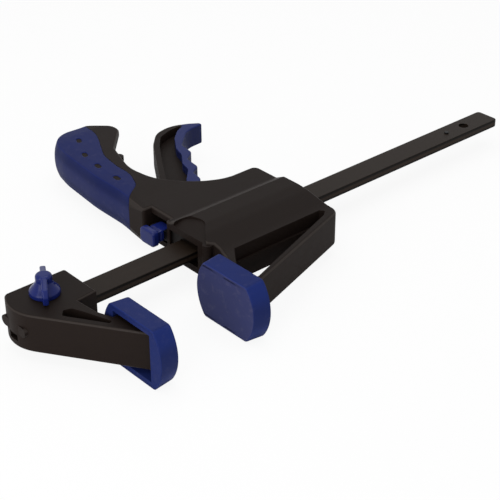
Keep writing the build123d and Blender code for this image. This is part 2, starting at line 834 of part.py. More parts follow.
# ================================================================ writing
def make_parts():
    housing_upper, housing_lower, cover_upper, cover_lower = make_shells()
    trigger_body, trigger_grip = make_trigger()
    return {
        "bar": make_bar(),
        "bar_stop_pin": make_stop_pin(),
        "fixed_jaw": make_fixed_jaw(),
        "fixed_jaw_nut": make_nut(),
        "fixed_jaw_pad": make_fixed_pad(),
        "wing_knob": make_wing_knob(),
        "wing_screw_stud": make_stud(),
        "housing_upper": housing_upper,
        "housing_lower": housing_lower,
        "housing_screws": make_housing_screws(),
        "grip_cover_upper": cover_upper,
        "grip_cover_lower": cover_lower,
        "moving_jaw_pad": make_moving_pad(),
        "trigger_pivot_pin": make_pivot_pin(),
        "drive_spring": make_drive_spring(),
        "brake_spring": make_brake_spring(),
        "trigger_body": trigger_body,
        "trigger_grip": trigger_grip,
        "drive_plate_front": make_drive_plate(drive_first_x),
        "drive_plate_rear": make_drive_plate(drive_second_x),
        "brake_plate": make_brake_plate(),
        "release_button": make_release_button(),
    }


os.makedirs("parts", exist_ok=True)
for name, solid in make_parts().items():
    export_step(Pos(0, pad_reach, 0) * solid, f"parts/{name}.step")
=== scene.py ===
"""Looks of a one-handed quick release bar clamp: soft pieces, finishes and a plain studio."""

import math

import bpy
from bpy.props import FloatProperty, FloatVectorProperty, IntProperty, PointerProperty
from mathutils import Matrix, Vector


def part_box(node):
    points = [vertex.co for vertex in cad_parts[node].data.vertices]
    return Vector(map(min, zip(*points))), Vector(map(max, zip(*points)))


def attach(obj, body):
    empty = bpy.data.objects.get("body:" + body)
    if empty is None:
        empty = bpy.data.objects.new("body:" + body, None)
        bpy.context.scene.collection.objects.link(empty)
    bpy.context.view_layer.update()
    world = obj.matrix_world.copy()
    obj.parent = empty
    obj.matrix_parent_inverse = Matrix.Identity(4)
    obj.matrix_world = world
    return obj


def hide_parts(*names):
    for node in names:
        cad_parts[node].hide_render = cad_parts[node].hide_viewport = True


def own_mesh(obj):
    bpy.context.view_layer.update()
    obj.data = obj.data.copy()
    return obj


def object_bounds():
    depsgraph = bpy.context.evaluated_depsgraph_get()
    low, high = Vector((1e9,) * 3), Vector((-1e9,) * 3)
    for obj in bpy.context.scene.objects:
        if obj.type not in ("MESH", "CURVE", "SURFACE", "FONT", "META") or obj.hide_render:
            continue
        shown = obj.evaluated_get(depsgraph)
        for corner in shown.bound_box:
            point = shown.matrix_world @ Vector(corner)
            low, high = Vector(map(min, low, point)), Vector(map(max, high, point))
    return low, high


bl_info = {
    "name": "Quick Release Bar Clamp",
    "version": (1, 0, 0),
    "blender": (4, 5, 0),
    "location": "3D View > Sidebar > Bar Clamp",
    "description": "Soft pieces, finishes and studio of a one-handed bar clamp",
    "category": "Object",
}

MM = 0.001
MERGE = 0.002 * MM      # vertices this close are one
ON_PLANE = 0.01 * MM    # this near to a plane counts as on it
NEAR = 0.1 * MM         # this near to a row or a face counts as in it
SOFT_ANGLE = 60.0       # shading angle of the remeshed and coiled pieces, in degrees

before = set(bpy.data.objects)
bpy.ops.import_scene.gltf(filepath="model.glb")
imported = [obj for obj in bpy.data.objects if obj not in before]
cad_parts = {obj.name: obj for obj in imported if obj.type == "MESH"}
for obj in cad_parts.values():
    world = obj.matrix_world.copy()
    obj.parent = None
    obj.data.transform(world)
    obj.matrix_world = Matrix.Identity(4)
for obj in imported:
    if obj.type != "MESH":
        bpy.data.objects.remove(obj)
CAD_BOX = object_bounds()
FIXED_PAD_LOW, FIXED_PAD_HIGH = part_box("fixed_jaw_pad")
BAR_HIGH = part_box("bar")[1]
JAW_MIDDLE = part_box("moving_jaw_pad")[0].x / 2    # half way between the two clamping faces

PLASTIC_NODES = ("fixed_jaw", "housing_upper", "housing_lower", "trigger_body")
DARK_NODES = ("bar_stop_pin", "housing_screws")
ZINC_NODES = ("fixed_jaw_nut", "wing_screw_stud", "trigger_pivot_pin")
PLATE_NODES = ("drive_plate_front", "drive_plate_rear", "brake_plate")

# lilac of the painted sheen on the pads and the grip, also mixed into both in random patches
PAD_LILAC = (0.082, 0.080, 0.150)
GRIP_LILAC = (0.070, 0.070, 0.125)

CORNER_STEPS = 6        # flats round a pad's long corners
RIM_STEPS = 4           # flats round a pad's rims

# stage: sizes and places in metres, the camera's sensor in millimetres
FLOOR_SIZE = 12.0
FLOOR_DARK = (0.86, 0.86, 0.86)
FLOOR_LIGHT = (0.89, 0.89, 0.89)
FLOOR_GLOW = 0.9        # share of plain white in the floor that the camera sees
OVERHEAD_PLACE = (0.10, 0.10, 0.9)
OVERHEAD_SIZE = 0.9
SIDE_PLACE = (-0.74, -0.18, 0.24)
SIDE_SIZE = 0.7
SENSOR_WIDTH = 36.0
FARTHEST = 20.0         # nothing beyond this is seen


# ================================================================ settings
def length(name, description, default):
    """A size in metres, given in millimetres."""
    return FloatProperty(name=name, description=description, default=default * MM, unit="LENGTH", precision=5)


def angle(name, description, degrees):
    """An angle in radians, given in degrees."""
    return FloatProperty(name=name, description=description, default=math.radians(degrees), subtype="ANGLE")


def amount(name, description, default):
    """A number from zero up."""
    return FloatProperty(name=name, description=description, default=default, min=0.0)


def count(name, description, default, least=0):
    """A whole number."""
    return IntProperty(name=name, description=description, default=default, min=least)


def colour(name, description, default):
    """A linear colour without alpha."""
    return FloatVectorProperty(
        name=name, description=description, default=default, size=3, min=0.0, max=1.0, subtype="COLOR"
    )


class PadSizes(bpy.types.PropertyGroup):
    """Shape of the two soft jaw pads."""
    bulge: length("Bulge", "How far each side swells out between the pad's corners", 7.2)
    draft: length("Draft", "How much larger the back is than the face, all round", 1.0)
    corner: length("Corner radius", "Rounding of the four long corner edges", 1.4)
    face_rim: length("Face rim", "Rounding round the clamping face", 0.9)
    back_rim: length("Back rim", "Rounding round the open back", 0.5)
    socket_depth: length("Socket depth", "How deep the jaw's tongue reaches in", 8.0)
    socket_width: length("Socket width", "Opening across the jaw", 34.6)
    socket_height: length("Socket height", "Opening past the thickness of the jaw", 32.6)
    rows: count("Rows", "Steps along the swelling sides", 24, least=4)


class GripSizes(bpy.types.PropertyGroup):
    """Mesh grain and rounding of what the hand holds: covers, knob and button."""
    cover_grain: length("Cover grain", "Voxel that rounds the grip cover's edges", 0.5)
    trigger_grain: length("Trigger grain", "Voxel that rounds the trigger grip's edges", 0.32)
    hard_grain: length("Hard grain", "Voxel that rounds the knob's and the button's edges", 0.25)
    rounds: count("Cover smoothing", "Smoothing passes over the soft covers", 4)
    knob_rounds: count("Knob smoothing", "Smoothing passes over the knob", 5)
    button_rounds: count("Button smoothing", "Smoothing passes over the button", 24)
    overlap: length("Parting overlap", "Depth to which a half is lengthened before it is cut flat", 2.0)


class SpringSizes(bpy.types.PropertyGroup):
    """How far each coil spring is pressed together."""
    drive_travel: length("Drive travel", "Shortening when the trigger is closed", 5.95)
    brake_travel: length("Brake travel", "Shortening when the release button is pressed", 4.6)


class Colours(bpy.types.PropertyGroup):
    """Colours of the clamp's finishes."""
    black: colour("Moulded black", "Textured black plastic", (0.0092, 0.0061, 0.0050))
    # colour of the painted highlight along the black plastic's rounded edges
    edge_highlight: colour("Edge highlight black", "Painted highlight on the black plastic's edges", (0.0440, 0.0360, 0.0320))
    blue: colour("Pad blue", "Soft elastomer of the jaw pads", (0.0075, 0.0165, 0.0960))
    navy: colour("Grip blue", "Soft elastomer of grip and trigger", (0.0070, 0.0125, 0.0760))
    gloss: colour("Glossy blue", "Hard blue plastic", (0.0075, 0.0140, 0.1050))
    oxide: colour("Black oxide", "Blackened steel bar", (0.0128, 0.0082, 0.0055))
    zinc: colour("Zinc", "Plated steel", (0.56, 0.56, 0.54))
    steel: colour("Spring steel", "Oiled spring wire", (0.30, 0.30, 0.31))
    plate: colour("Blued steel", "Blackened brake and drive plates", (0.022, 0.020, 0.019))


class StageSettings(bpy.types.PropertyGroup):
    """Camera and light."""
    target: FloatVectorProperty(
        name="Target",
        description="Point that the camera looks at",
        default=(0.11014, 0.03653, 0.0),
        size=3,
        subtype="TRANSLATION",
    )
    distance: length("Distance", "From camera to target", 880.79)
    azimuth: angle("Azimuth", "Turn round Z", -41.32)
    elevation: angle("Elevation", "Height above the horizon", 30.77)
    roll: angle("Roll", "About the view axis", -0.18)
    focal: amount("Focal length", "In millimetres, on a 36 mm sensor", 97.6)
    ambient: amount("Ambient", "Strength of the surrounding light", 0.55)
    key: amount("Key light", "Power of the overhead softbox, in watts", 4.2)
    fill: amount("Fill light", "Power of the side softbox, in watts", 4.2)


# ================================================================ shader graph
class Wire:
    """An output of a node, on which arithmetic adds Math nodes."""

    def __init__(self, graph, socket):
        self.graph = graph
        self.socket = socket

    def maths(self, operation, *values):
        return self.graph.node("Math", {"operation": operation}, dict(enumerate(values)))

    def __add__(self, other):
        return self.maths("ADD", self, other)

    def __sub__(self, other):
        return self.maths("SUBTRACT", self, other)

    def __mul__(self, other):
        return self.maths("MULTIPLY", self, other)

    def __rsub__(self, other):
        return self.maths("SUBTRACT", other, self)

    def __abs__(self):
        return self.maths("ABSOLUTE", self)

    __radd__ = __add__
    __rmul__ = __mul__

    def cycle(self):
        """0 at the middle of each whole step, 0.5 at its ends."""
        return abs(self.maths("FRACT", self) - 0.5)

    def over(self, other):
        """The larger of two values."""
        return self.maths("MAXIMUM", self, other)

    def under(self, other):
        """The smaller of two values."""
        return self.maths("MINIMUM", self, other)

    def ramp(self, low, high):
        """0 at low, 1 at high, smooth between."""
        return self.graph.node(
            "MapRange",
            {"interpolation_type": "SMOOTHSTEP"},
            {"Value": self, "From Min": low, "From Max": high},
        )


class Graph:
    """Nodes of a material or world."""

    def __init__(self, tree):
        self.tree = tree

    def node(self, kind, settings=None, inputs=None, output=0):
        """Add a node: its settings first, then the values or links of its sockets. Gives one output."""
        node = self.tree.nodes.new("ShaderNode" + kind)
        for name, value in (settings or {}).items():
            setattr(node, name, value)
        for name, value in (inputs or {}).items():
            self.feed(node.inputs[name], value)
        return Wire(self, node.outputs[output])

    def feed(self, socket, value):
        """Link a wire to a socket, or set its value."""
        if isinstance(value, Wire):
            self.tree.links.new(value.socket, socket)
        else:
            socket.default_value = value

    def mix(self, factor, first, second):
        """Blend two colours."""
        inputs = {0: factor, 6: as_colour(first), 7: as_colour(second)}
        return self.node("Mix", {"data_type": "RGBA"}, inputs, output=2)


class Finish(Graph):
    """A material with a Principled shader, patterned on the piece's own coordinates."""

    def __init__(self, name):
        self.material = bpy.data.materials.new(name)
        self.material.use_nodes = True
        super().__init__(self.material.node_tree)
        self.shader = self.tree.nodes["Principled BSDF"]
        self.place = self.node("TexCoord", output="Object")

    def set(self, **values):
        """Feed the shader's sockets; underscores stand for spaces."""
        for name, value in values.items():
            self.feed(self.shader.inputs[name.replace("_", " ").title().replace("Ior", "IOR")], value)

    def stretched(self, *scale):
        """Object coordinates scaled by axis, for grain that runs one way."""
        return self.node("Mapping", {"vector_type": "POINT"}, {"Vector": self.place, "Scale": scale})

    def noise(self, feature, detail=2.0, roughness=0.5, vector=None):
        """Noise from 0 to 1 whose features are about so many metres across."""
        inputs = {
            "Vector": vector or self.place,
            "Scale": 1.0 / feature,
            "Detail": detail,
            "Roughness": roughness,
        }
        return self.node("TexNoise", {}, inputs)

    def axes(self, vector):
        """The three parts of a vector."""
        outputs = self.node("SeparateXYZ", {}, {0: vector}).socket.node.outputs
        return [Wire(self, output) for output in outputs]

    def facing(self, axis):
        """1 where the surface looks along an axis, either way, 0 where it runs beside it."""
        normal = Wire(self, self.place.socket.node.outputs["Normal"])
        return abs(self.axes(normal)["XYZ".index(axis)])

    def edges(self):
        """1 on the rounded edges between level and upright faces, 0 on the faces."""
        upward = self.facing("Z")
        return upward.ramp(0.16, 0.42) * (1.0 - upward.ramp(0.80, 0.975))

    def bump(self, height, distance, under=None):
        """Surface relief from a height of 0 to 1, as deep as distance, on top of any relief under it."""
        inputs = {"Height": height, "Distance": distance, "Strength": 1.0}
        if under is not None:
            inputs["Normal"] = under
        return self.node("Bump", {}, inputs)


def as_colour(value):
    """A colour with alpha, or the wire as it is."""
    return value if isinstance(value, Wire) else (*value, 1.0)


def scaled(value, factor):
    """A colour made darker or lighter."""
    return tuple(min(1.0, channel * factor) for channel in value)


# ================================================================ finishes
def moulded_black(colours):
    """Spark-textured black plastic, faintly rubbed, with painted light on its upright faces and a painted
    highlight along its rounded edges.
    """
    finish = Finish("moulded_black")
    base = colours.black
    sparks = finish.noise(0.45 * MM, detail=3.0, roughness=0.6)
    mottle = finish.noise(9 * MM, detail=3.0)
    rub = finish.noise(2.2 * MM, detail=4.0, roughness=0.65, vector=finish.stretched(1.0, 0.25, 1.0))
    rub_and_sheen = rub.ramp(0.60, 0.78) * mottle.ramp(0.40, 0.65)
    tone = finish.mix(mottle, scaled(base, 0.86), scaled(base, 1.14))
    tone = finish.mix(sparks.ramp(0.35, 0.75) * 0.35, tone, scaled(base, 1.5))
    tone = finish.mix(rub_and_sheen * 0.22, tone, scaled(base, 2.0))
    # painted light: the upright faces are made lighter than the level ones
    flank = 1.0 - finish.facing("Z").ramp(0.10, 0.50)
    tone = finish.mix(flank * 0.50, tone, scaled(base, 1.9))
    # painted highlight: the rounded edges between level and upright faces are lightened towards the edge
    # colour, varied by the rub noise
    wear_and_highlight = finish.edges() * (0.55 + rub * 0.45)
    tone = finish.mix(wear_and_highlight * 0.80, tone, colours.edge_highlight)
    finish.set(
        base_color=tone,
        roughness=0.44 + sparks * 0.10 + mottle * 0.08 - rub_and_sheen * 0.08 - wear_and_highlight * 0.16,
        specular_ior_level=0.062,
        normal=finish.bump(sparks, 0.035 * MM, under=finish.bump(mottle, 0.05 * MM)),
    )
    return finish.material


def pad_sheen(finish):
    """Where a jaw pad gets a painted lilac sheen, and where painted shade: its clamping face, and nowhere."""
    apart = abs(finish.axes(finish.place)[0] - JAW_MIDDLE)
    behind = apart.ramp(JAW_MIDDLE + 0.4 * MM, JAW_MIDDLE + 2.5 * MM)
    # painted sheen: lilac on the faces that look along X, near the clamping face
    rub_and_sheen = finish.facing("X").ramp(0.50, 0.85) * (1.0 - behind) * 0.55
    return rub_and_sheen, 0.0


def grip_sheen_and_shade(finish):
    """Where the grip's cover gets a painted lilac sheen, and where painted shade: mid flank, and under the
    crease.
    """
    height = abs(finish.axes(finish.place)[2])
    flank = 1.0 - finish.facing("Z").ramp(0.45, 0.80)
    # painted sheen: lilac on the flank near the middle plane
    rub_and_sheen = flank * (1.0 - height.ramp(2 * MM, 9 * MM)) * 0.16
    # painted shade: the flank darker towards the crease
    painted_shade = flank * height.ramp(3 * MM, 11 * MM) * 0.75
    return rub_and_sheen, painted_shade


def soft_blue(name, base, lilac, sheen_and_shade):
    """Satin elastomer with slow shade changes, lilac where it is handled, and a painted lilac sheen, painted
    shade and painted edge highlights.
    """
    finish = Finish(name)
    skin = finish.noise(0.30 * MM, detail=2.0, roughness=0.6)
    flow = finish.noise(14 * MM, detail=2.5, vector=finish.stretched(1.0, 1.0, 1.8))
    handled = finish.noise(5 * MM, detail=4.0, roughness=0.6).ramp(0.52, 0.75)
    tone = finish.mix(flow, scaled(base, 0.88), scaled(base, 1.12))
    tone = finish.mix(0.04 + handled * 0.12, tone, lilac)
    # masks of the piece's painted sheen and painted shade
    rub_and_sheen, painted_shade = sheen_and_shade(finish)
    # painted shade
    tone = finish.mix(painted_shade, tone, scaled(base, 0.45))
    # painted lilac sheen
    tone = finish.mix(rub_and_sheen * (0.6 + handled * 0.4), tone, lilac)
    # painted highlight: the rounded edges are made lighter
    wear_and_highlight = finish.edges()
    tone = finish.mix(wear_and_highlight * 0.35, tone, scaled(base, 1.9))
    finish.set(
        base_color=tone,
        roughness=0.40 + skin * 0.10 + flow * 0.06 - handled * 0.04 - wear_and_highlight * 0.08,
        specular_ior_level=0.055,
        normal=finish.bump(skin, 0.018 * MM),
    )
    return finish.material


def chequered_blue(colours):
    """Soft blue with fine raised diamonds on the finger side."""
    finish = Finish("chequered_blue")
    base = colours.navy
    pitch = 1.5 * MM
    lean = math.radians(-58.0)
    turned = finish.node(
        "Mapping",
        {"vector_type": "POINT"},
        {"Vector": finish.place, "Rotation": (0.0, 0.0, lean), "Scale": (1 / pitch,) * 3},
    )
    along, _, across = finish.axes(turned)
    grooves = 1.0 - (along + across).cycle().under((along - across).cycle()).ramp(0.04, 0.22)
    flank = 1.0 - finish.facing("Z").ramp(0.12, 0.35)
    diamonds = 1.0 - grooves * flank
    skin = finish.noise(0.30 * MM, detail=2.0, roughness=0.6)
    # painted shade: the grooves between the diamonds are darker than the diamonds
    tone = finish.mix(diamonds, scaled(base, 0.55), scaled(base, 1.15))
    finish.set(
        base_color=tone,
        roughness=0.42 + skin * 0.12,
        specular_ior_level=0.12,
        normal=finish.bump(diamonds, 0.30 * MM, under=finish.bump(skin, 0.018 * MM)),
    )
    return finish.material


def glossy_blue(colours):
    """Hard moulded blue plastic with faint handling marks."""
    finish = Finish("glossy_blue")
    base = colours.gloss
    orange_peel = finish.noise(0.9 * MM, detail=1.5)
    marks = finish.noise(3 * MM, detail=5.0, roughness=0.7).ramp(0.55, 0.8)
    tone = finish.mix(finish.noise(6 * MM), scaled(base, 0.9), scaled(base, 1.1))
    finish.set(
        base_color=tone,
        roughness=0.15 + marks * 0.14 + orange_peel * 0.05,
        specular_ior_level=0.17,
        normal=finish.bump(orange_peel, 0.012 * MM),
    )
    return finish.material


def black_oxide(colours):
    """Cold-rolled steel bar, blackened, with a lengthwise grain and rub marks, painted light on its sides and
    a painted dark reflection along their edges.
    """
    finish = Finish("black_oxide")
    base = colours.oxide
    grain = finish.noise(0.5 * MM, detail=3.0, roughness=0.6, vector=finish.stretched(0.03, 1.0, 1.0))
    streaks = finish.noise(1.6 * MM, detail=4.0, roughness=0.6, vector=finish.stretched(0.012, 1.0, 1.0))
    cloud = finish.noise(22 * MM, detail=3.0)
    rub_and_sheen = streaks.ramp(0.58, 0.80) * cloud.ramp(0.42, 0.70)
    tone = finish.mix(cloud, scaled(base, 0.85), scaled(base, 1.15))
    tone = finish.mix(grain.ramp(0.4, 0.8) * 0.35, tone, scaled(base, 1.45))
    tone = finish.mix(rub_and_sheen * 0.30, tone, scaled(base, 2.4))
    # painted light: the sides that look along Y are made lighter, with a painted dark reflection towards the
    # top and bottom edges of each side
    side = finish.facing("Y").ramp(0.30, 0.70)
    height = abs(finish.axes(finish.place)[2])
    rim = height.ramp(BAR_HIGH.z - 2.2 * MM, BAR_HIGH.z - 1.4 * MM)
    tone = finish.mix(side * 0.80, tone, scaled(base, 1.8))
    tone = finish.mix(side * rim * 0.92, tone, scaled(base, 0.10))
    finish.set(
        base_color=tone,
        metallic=rub_and_sheen * 0.20,
        roughness=0.34 + grain * 0.12 + cloud * 0.06,
        specular_ior_level=0.08,
        normal=finish.bump(grain, 0.012 * MM),
    )
    return finish.material


def plated_steel(name, base, roughness, feature):
    """Bare or plated steel with turning marks and a faint tarnish."""
    finish = Finish(name)
    marks = finish.noise(feature, detail=3.0, roughness=0.6)
    tarnish = finish.noise(3 * MM, detail=3.0)
    finish.set(
        base_color=finish.mix(tarnish, scaled(base, 0.78), scaled(base, 1.1)),
        metallic=1.0,
        roughness=roughness + marks * 0.14 + tarnish * 0.08,
        normal=finish.bump(marks, 0.01 * MM),
    )
    return finish.material


def black_screw(colours):
    """Phosphated steel, dark grey, with brighter worn spots."""
    finish = Finish("black_screw")
    crystals = finish.noise(0.25 * MM, detail=3.0)
    wear_and_highlight = finish.noise(1.2 * MM, detail=4.0).ramp(0.55, 0.72)
    finish.set(
        base_color=finish.mix(wear_and_highlight * 0.5, scaled(colours.steel, 0.04), scaled(colours.steel, 0.16)),
        metallic=0.85,
        roughness=0.38 + crystals * 0.16,
        normal=finish.bump(crystals, 0.012 * MM),
    )
    return finish.material


# ================================================================ modelling helpers
def deselect():
    """Leave object mode with nothing selected."""
    if bpy.context.mode != "OBJECT":
        bpy.ops.object.mode_set(mode="OBJECT")
    bpy.ops.object.select_all(action="DESELECT")


def pick(piece):
    """Make a piece the only selected and active object."""
    deselect()
    piece.select_set(True)
    bpy.context.view_layer.objects.active = piece


def edit_all(piece):
    """Open a piece in edit mode with its whole mesh selected."""
    pick(piece)
    bpy.ops.object.mode_set(mode="EDIT")
    bpy.ops.mesh.select_all(action="SELECT")


def choose(piece, wanted, kind):
    """In edit mode, select what passes a test, given a vertex's place, an edge's two ends or a face."""
    bpy.ops.mesh.select_mode(type=kind)
    bpy.ops.mesh.select_all(action="DESELECT")
    bpy.ops.object.mode_set(mode="OBJECT")
    mesh = piece.data
    if kind == "VERT":
        for vertex in mesh.vertices:
            vertex.select = wanted(vertex.co)
    elif kind == "EDGE":
        for edge in mesh.edges:
            ends = [mesh.vertices[index].co for index in edge.vertices]
            edge.select = wanted(*ends)
    else:
        for face in mesh.polygons:
            face.select = wanted(face)
    bpy.ops.object.mode_set(mode="EDIT")


def apply_modifier(piece, kind, **settings):
    """Add a modifier, set it and apply it."""
    pick(piece)
    modifier = piece.modifiers.new(kind.title(), kind)
    for name, value in settings.items():
        setattr(modifier, name, value)
    bpy.ops.object.modifier_apply(modifier=modifier.name)


def copy_of(node, name):
    """A merged, editable copy of a frame node's mesh."""
    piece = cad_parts[node].copy()
    piece.data = piece.data.copy()
    piece.name = piece.data.name = name
    piece.parent = None
    for key in list(piece.keys()):
        del piece[key]
    bpy.context.scene.collection.objects.link(piece)
    edit_all(piece)
    bpy.ops.mesh.remove_doubles(threshold=MERGE)
    bpy.ops.object.mode_set(mode="OBJECT")
    return piece


def duplicate(piece, name):
    """A second copy of a piece, with its own mesh."""
    pick(piece)
    bpy.ops.object.duplicate()
    copy = bpy.context.view_layer.objects.active
    copy.name = copy.data.name = name
    return copy


def smooth(piece, degrees=40.0):
    """Smooth shading up to an angle."""
    pick(piece)
    bpy.ops.object.shade_smooth_by_angle(angle=math.radians(degrees))


def dress(piece, material):
    """Give a piece this material and no other."""
    piece.data.materials.clear()
    piece.data.materials.append(material)


def settle(piece, body, slot, *nodes):
    """Set a new piece on its body, in place of its frame nodes."""
    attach(piece, body)
    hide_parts(*nodes)


def soften(piece, grain, rounds):
    """Remesh a hard-edged form finely and round its edges."""
    apply_modifier(piece, "REMESH", mode="VOXEL", voxel_size=grain, use_smooth_shade=True)
    apply_modifier(piece, "SMOOTH", factor=0.5, iterations=rounds)


# ================================================================ operators
class CLAMP_OT_jaw_pads(bpy.types.Operator):
    """Model the two soft jaw pads, each pushed over the end of its arm"""
    bl_idname = "clamp.jaw_pads"
    bl_label = "Jaw pads"

    def execute(self, context):
        settings = context.scene.clamp
        pad = self.block(settings.pads)
        self.swell(pad, settings.pads)
        self.round_off(pad, settings.pads)
        self.cut_socket(pad, settings.pads)
        other = duplicate(pad, "moving_pad_rubber")
        edit_all(other)
        middle = (JAW_MIDDLE, 0.0, 0.0)
        bpy.ops.transform.rotate(value=math.pi, orient_axis="Z", center_override=middle)
        bpy.ops.object.mode_set(mode="OBJECT")
        finish = soft_blue("pad_blue", settings.colours.blue, PAD_LILAC, pad_sheen)
        for piece, body, node in ((pad, "root", "fixed_jaw_pad"), (other, "head", "moving_jaw_pad")):
            smooth(piece)
            apply_modifier(piece, "WEIGHTED_NORMAL", keep_sharp=True)
            dress(piece, finish)
            settle(piece, body, "blue_soft", node)
        return {"FINISHED"}

    def block(self, pads):
        """A plain block with its straight sides divided into rows."""
        deselect()
        low, high = FIXED_PAD_LOW, FIXED_PAD_HIGH
        half = high.z - pads.draft
        size = (high.x - low.x, 2 * half, 2 * half)
        middle = ((low.x + high.x) / 2, 0.0, 0.0)
        bpy.ops.mesh.primitive_cube_add(size=1.0, location=middle, scale=size)
        bpy.ops.object.transform_apply(location=True, rotation=False, scale=True)
        pad = bpy.context.view_layer.objects.active
        pad.name = pad.data.name = "fixed_pad_rubber"
        bpy.ops.object.mode_set(mode="EDIT")
        choose(pad, lambda a, b: abs(a.z - b.z) > half, "EDGE")
        bpy.ops.mesh.subdivide(number_cuts=pads.rows - 1)
        bpy.ops.object.mode_set(mode="OBJECT")
        return pad

    def swell(self, pad, pads):
        """Move each row out by its share of the side's arc, then enlarge the back."""
        half = FIXED_PAD_HIGH.z - pads.draft
        radius = (half ** 2 + pads.bulge ** 2) / (2 * pads.bulge)
        bpy.ops.object.mode_set(mode="EDIT")
        for row in range(1, pads.rows):
            height = half * (2 * row / pads.rows - 1)
            out = math.sqrt(radius ** 2 - height ** 2) - (radius - pads.bulge)
            for side in (-1, 1):
                choose(pad, lambda co: abs(co.z - height) < NEAR and co.y * side > 0, "VERT")
                bpy.ops.transform.translate(value=(0.0, side * out, 0.0))
        width = half + pads.bulge
        choose(pad, lambda co: co.x < FIXED_PAD_HIGH.x - NEAR, "VERT")
        bpy.ops.transform.resize(
            value=(1.0, (width + pads.draft) / width, (half + pads.draft) / half),
            center_override=(FIXED_PAD_LOW.x, 0.0, 0.0),
        )
        bpy.ops.object.mode_set(mode="OBJECT")

    def round_off(self, pad, pads):
        """Round the four long corners, the face's rim and the back's rim."""
        front, back = FIXED_PAD_HIGH.x, FIXED_PAD_LOW.x
        half = FIXED_PAD_HIGH.z - pads.draft
        bpy.ops.object.mode_set(mode="EDIT")
        choose(pad, lambda a, b: abs(a.x - b.x) > NEAR and abs(a.z) > half - NEAR, "EDGE")
        bpy.ops.mesh.bevel(offset=pads.corner, segments=CORNER_STEPS, profile=0.5, affect="EDGES")
        for place, size in ((front, pads.face_rim), (back, pads.back_rim)):
            choose(pad, lambda face: abs(face.center.x - place) < NEAR, "FACE")
            bpy.ops.mesh.region_to_loop()
            bpy.ops.mesh.bevel(offset=size, segments=RIM_STEPS, profile=0.5, affect="EDGES")
        bpy.ops.object.mode_set(mode="OBJECT")

    def cut_socket(self, pad, pads):
        """Cut the pocket that the jaw's tongue fills."""
        deselect()
        depth = 2 * pads.socket_depth
        bpy.ops.mesh.primitive_cube_add(
            size=1.0,
            location=(FIXED_PAD_LOW.x, 0.0, 0.0),
            scale=(depth, pads.socket_width, pads.socket_height),
        )
        bpy.ops.object.transform_apply(location=True, rotation=False, scale=True)
        cutter = bpy.context.view_layer.objects.active
        apply_modifier(pad, "BOOLEAN", operation="DIFFERENCE", object=cutter, solver="EXACT")
        bpy.data.objects.remove(cutter)


class CLAMP_OT_grip_cover(bpy.types.Operator):
    """Model the soft cover of the pistol grip as two moulded halves"""
    bl_idname = "clamp.grip_cover"
    bl_label = "Grip cover"

    def execute(self, context):
        settings = context.scene.clamp
        finish = soft_blue("grip_blue", settings.colours.navy, GRIP_LILAC, grip_sheen_and_shade)
        upper = self.upper_half(settings.grips)
        lower = self.lower_half(upper)
        for piece, node in ((upper, "grip_cover_upper"), (lower, "grip_cover_lower")):
            smooth(piece, SOFT_ANGLE)
            dress(piece, finish)
            settle(piece, "head", "blue_soft", node)
        return {"FINISHED"}

    def upper_half(self, grips):
        """The upper half, lengthened past the parting plane, rounded and cut flat there again."""
        upper = copy_of("grip_cover_upper", "grip_rubber_upper")
        bpy.ops.object.mode_set(mode="EDIT")
        choose(upper, lambda co: abs(co.z) < ON_PLANE, "VERT")
        bpy.ops.transform.translate(value=(0.0, 0.0, -grips.overlap))
        bpy.ops.object.mode_set(mode="OBJECT")
        soften(upper, grips.cover_grain, grips.rounds)
        edit_all(upper)
        bpy.ops.mesh.bisect(plane_co=(0, 0, 0), plane_no=(0, 0, 1), use_fill=True, clear_inner=True)
        bpy.ops.object.mode_set(mode="OBJECT")
        return upper

    def lower_half(self, upper):
        """The mirror image of the upper half."""
        lower = duplicate(upper, "grip_rubber_lower")
        edit_all(lower)
        bpy.ops.transform.resize(value=(1, 1, -1), center_override=(0, 0, 0))
        bpy.ops.mesh.normals_make_consistent(inside=False)
        bpy.ops.object.mode_set(mode="OBJECT")
        return lower


class CLAMP_OT_trigger_grip(bpy.types.Operator):
    """Model the trigger's soft finger side"""
    bl_idname = "clamp.trigger_grip"
    bl_label = "Trigger grip"

    def execute(self, context):
        settings = context.scene.clamp
        grip = copy_of("trigger_grip", "trigger_rubber")
        soften(grip, settings.grips.trigger_grain, settings.grips.rounds)
        smooth(grip, SOFT_ANGLE)
        dress(grip, chequered_blue(settings.colours))
        settle(grip, "trigger", "blue_soft", "trigger_grip")
        return {"FINISHED"}


class CLAMP_OT_hard_blue(bpy.types.Operator):
    """Round the moulded edges of the wing knob and the release button"""
    bl_idname = "clamp.hard_blue"
    bl_label = "Knob and button"

    def execute(self, context):
        settings = context.scene.clamp
        finish = glossy_blue(settings.colours)
        for node, name, body, rounds in (
            ("wing_knob", "knob_plastic", "wing", settings.grips.knob_rounds),
            ("release_button", "button_plastic", "brake", settings.grips.button_rounds),
        ):
            piece = copy_of(node, name)
            soften(piece, settings.grips.hard_grain, rounds)
            smooth(piece, SOFT_ANGLE)
            dress(piece, finish)
            settle(piece, body, "blue_gloss", node)
        return {"FINISHED"}


class CLAMP_OT_springs(bpy.types.Operator):
    """Set the two coil springs between their seats"""
    bl_idname = "clamp.springs"
    bl_label = "Springs"

    def execute(self, context):
        settings = context.scene.clamp
        springs = settings.springs
        finish = plated_steel("spring_wire", settings.colours.steel, roughness=0.26, feature=0.3 * MM)
        for node, joint, travel in (
            ("drive_spring", "drive_plates_slide", springs.drive_travel),
            ("brake_spring", "brake_release", springs.brake_travel),
        ):
            coil = copy_of(node, node + "_coil")
            smooth(coil, SOFT_ANGLE)
            dress(coil, finish)
            settle(coil, "head", "spring_steel", node)
            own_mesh(coil)
        return {"FINISHED"}


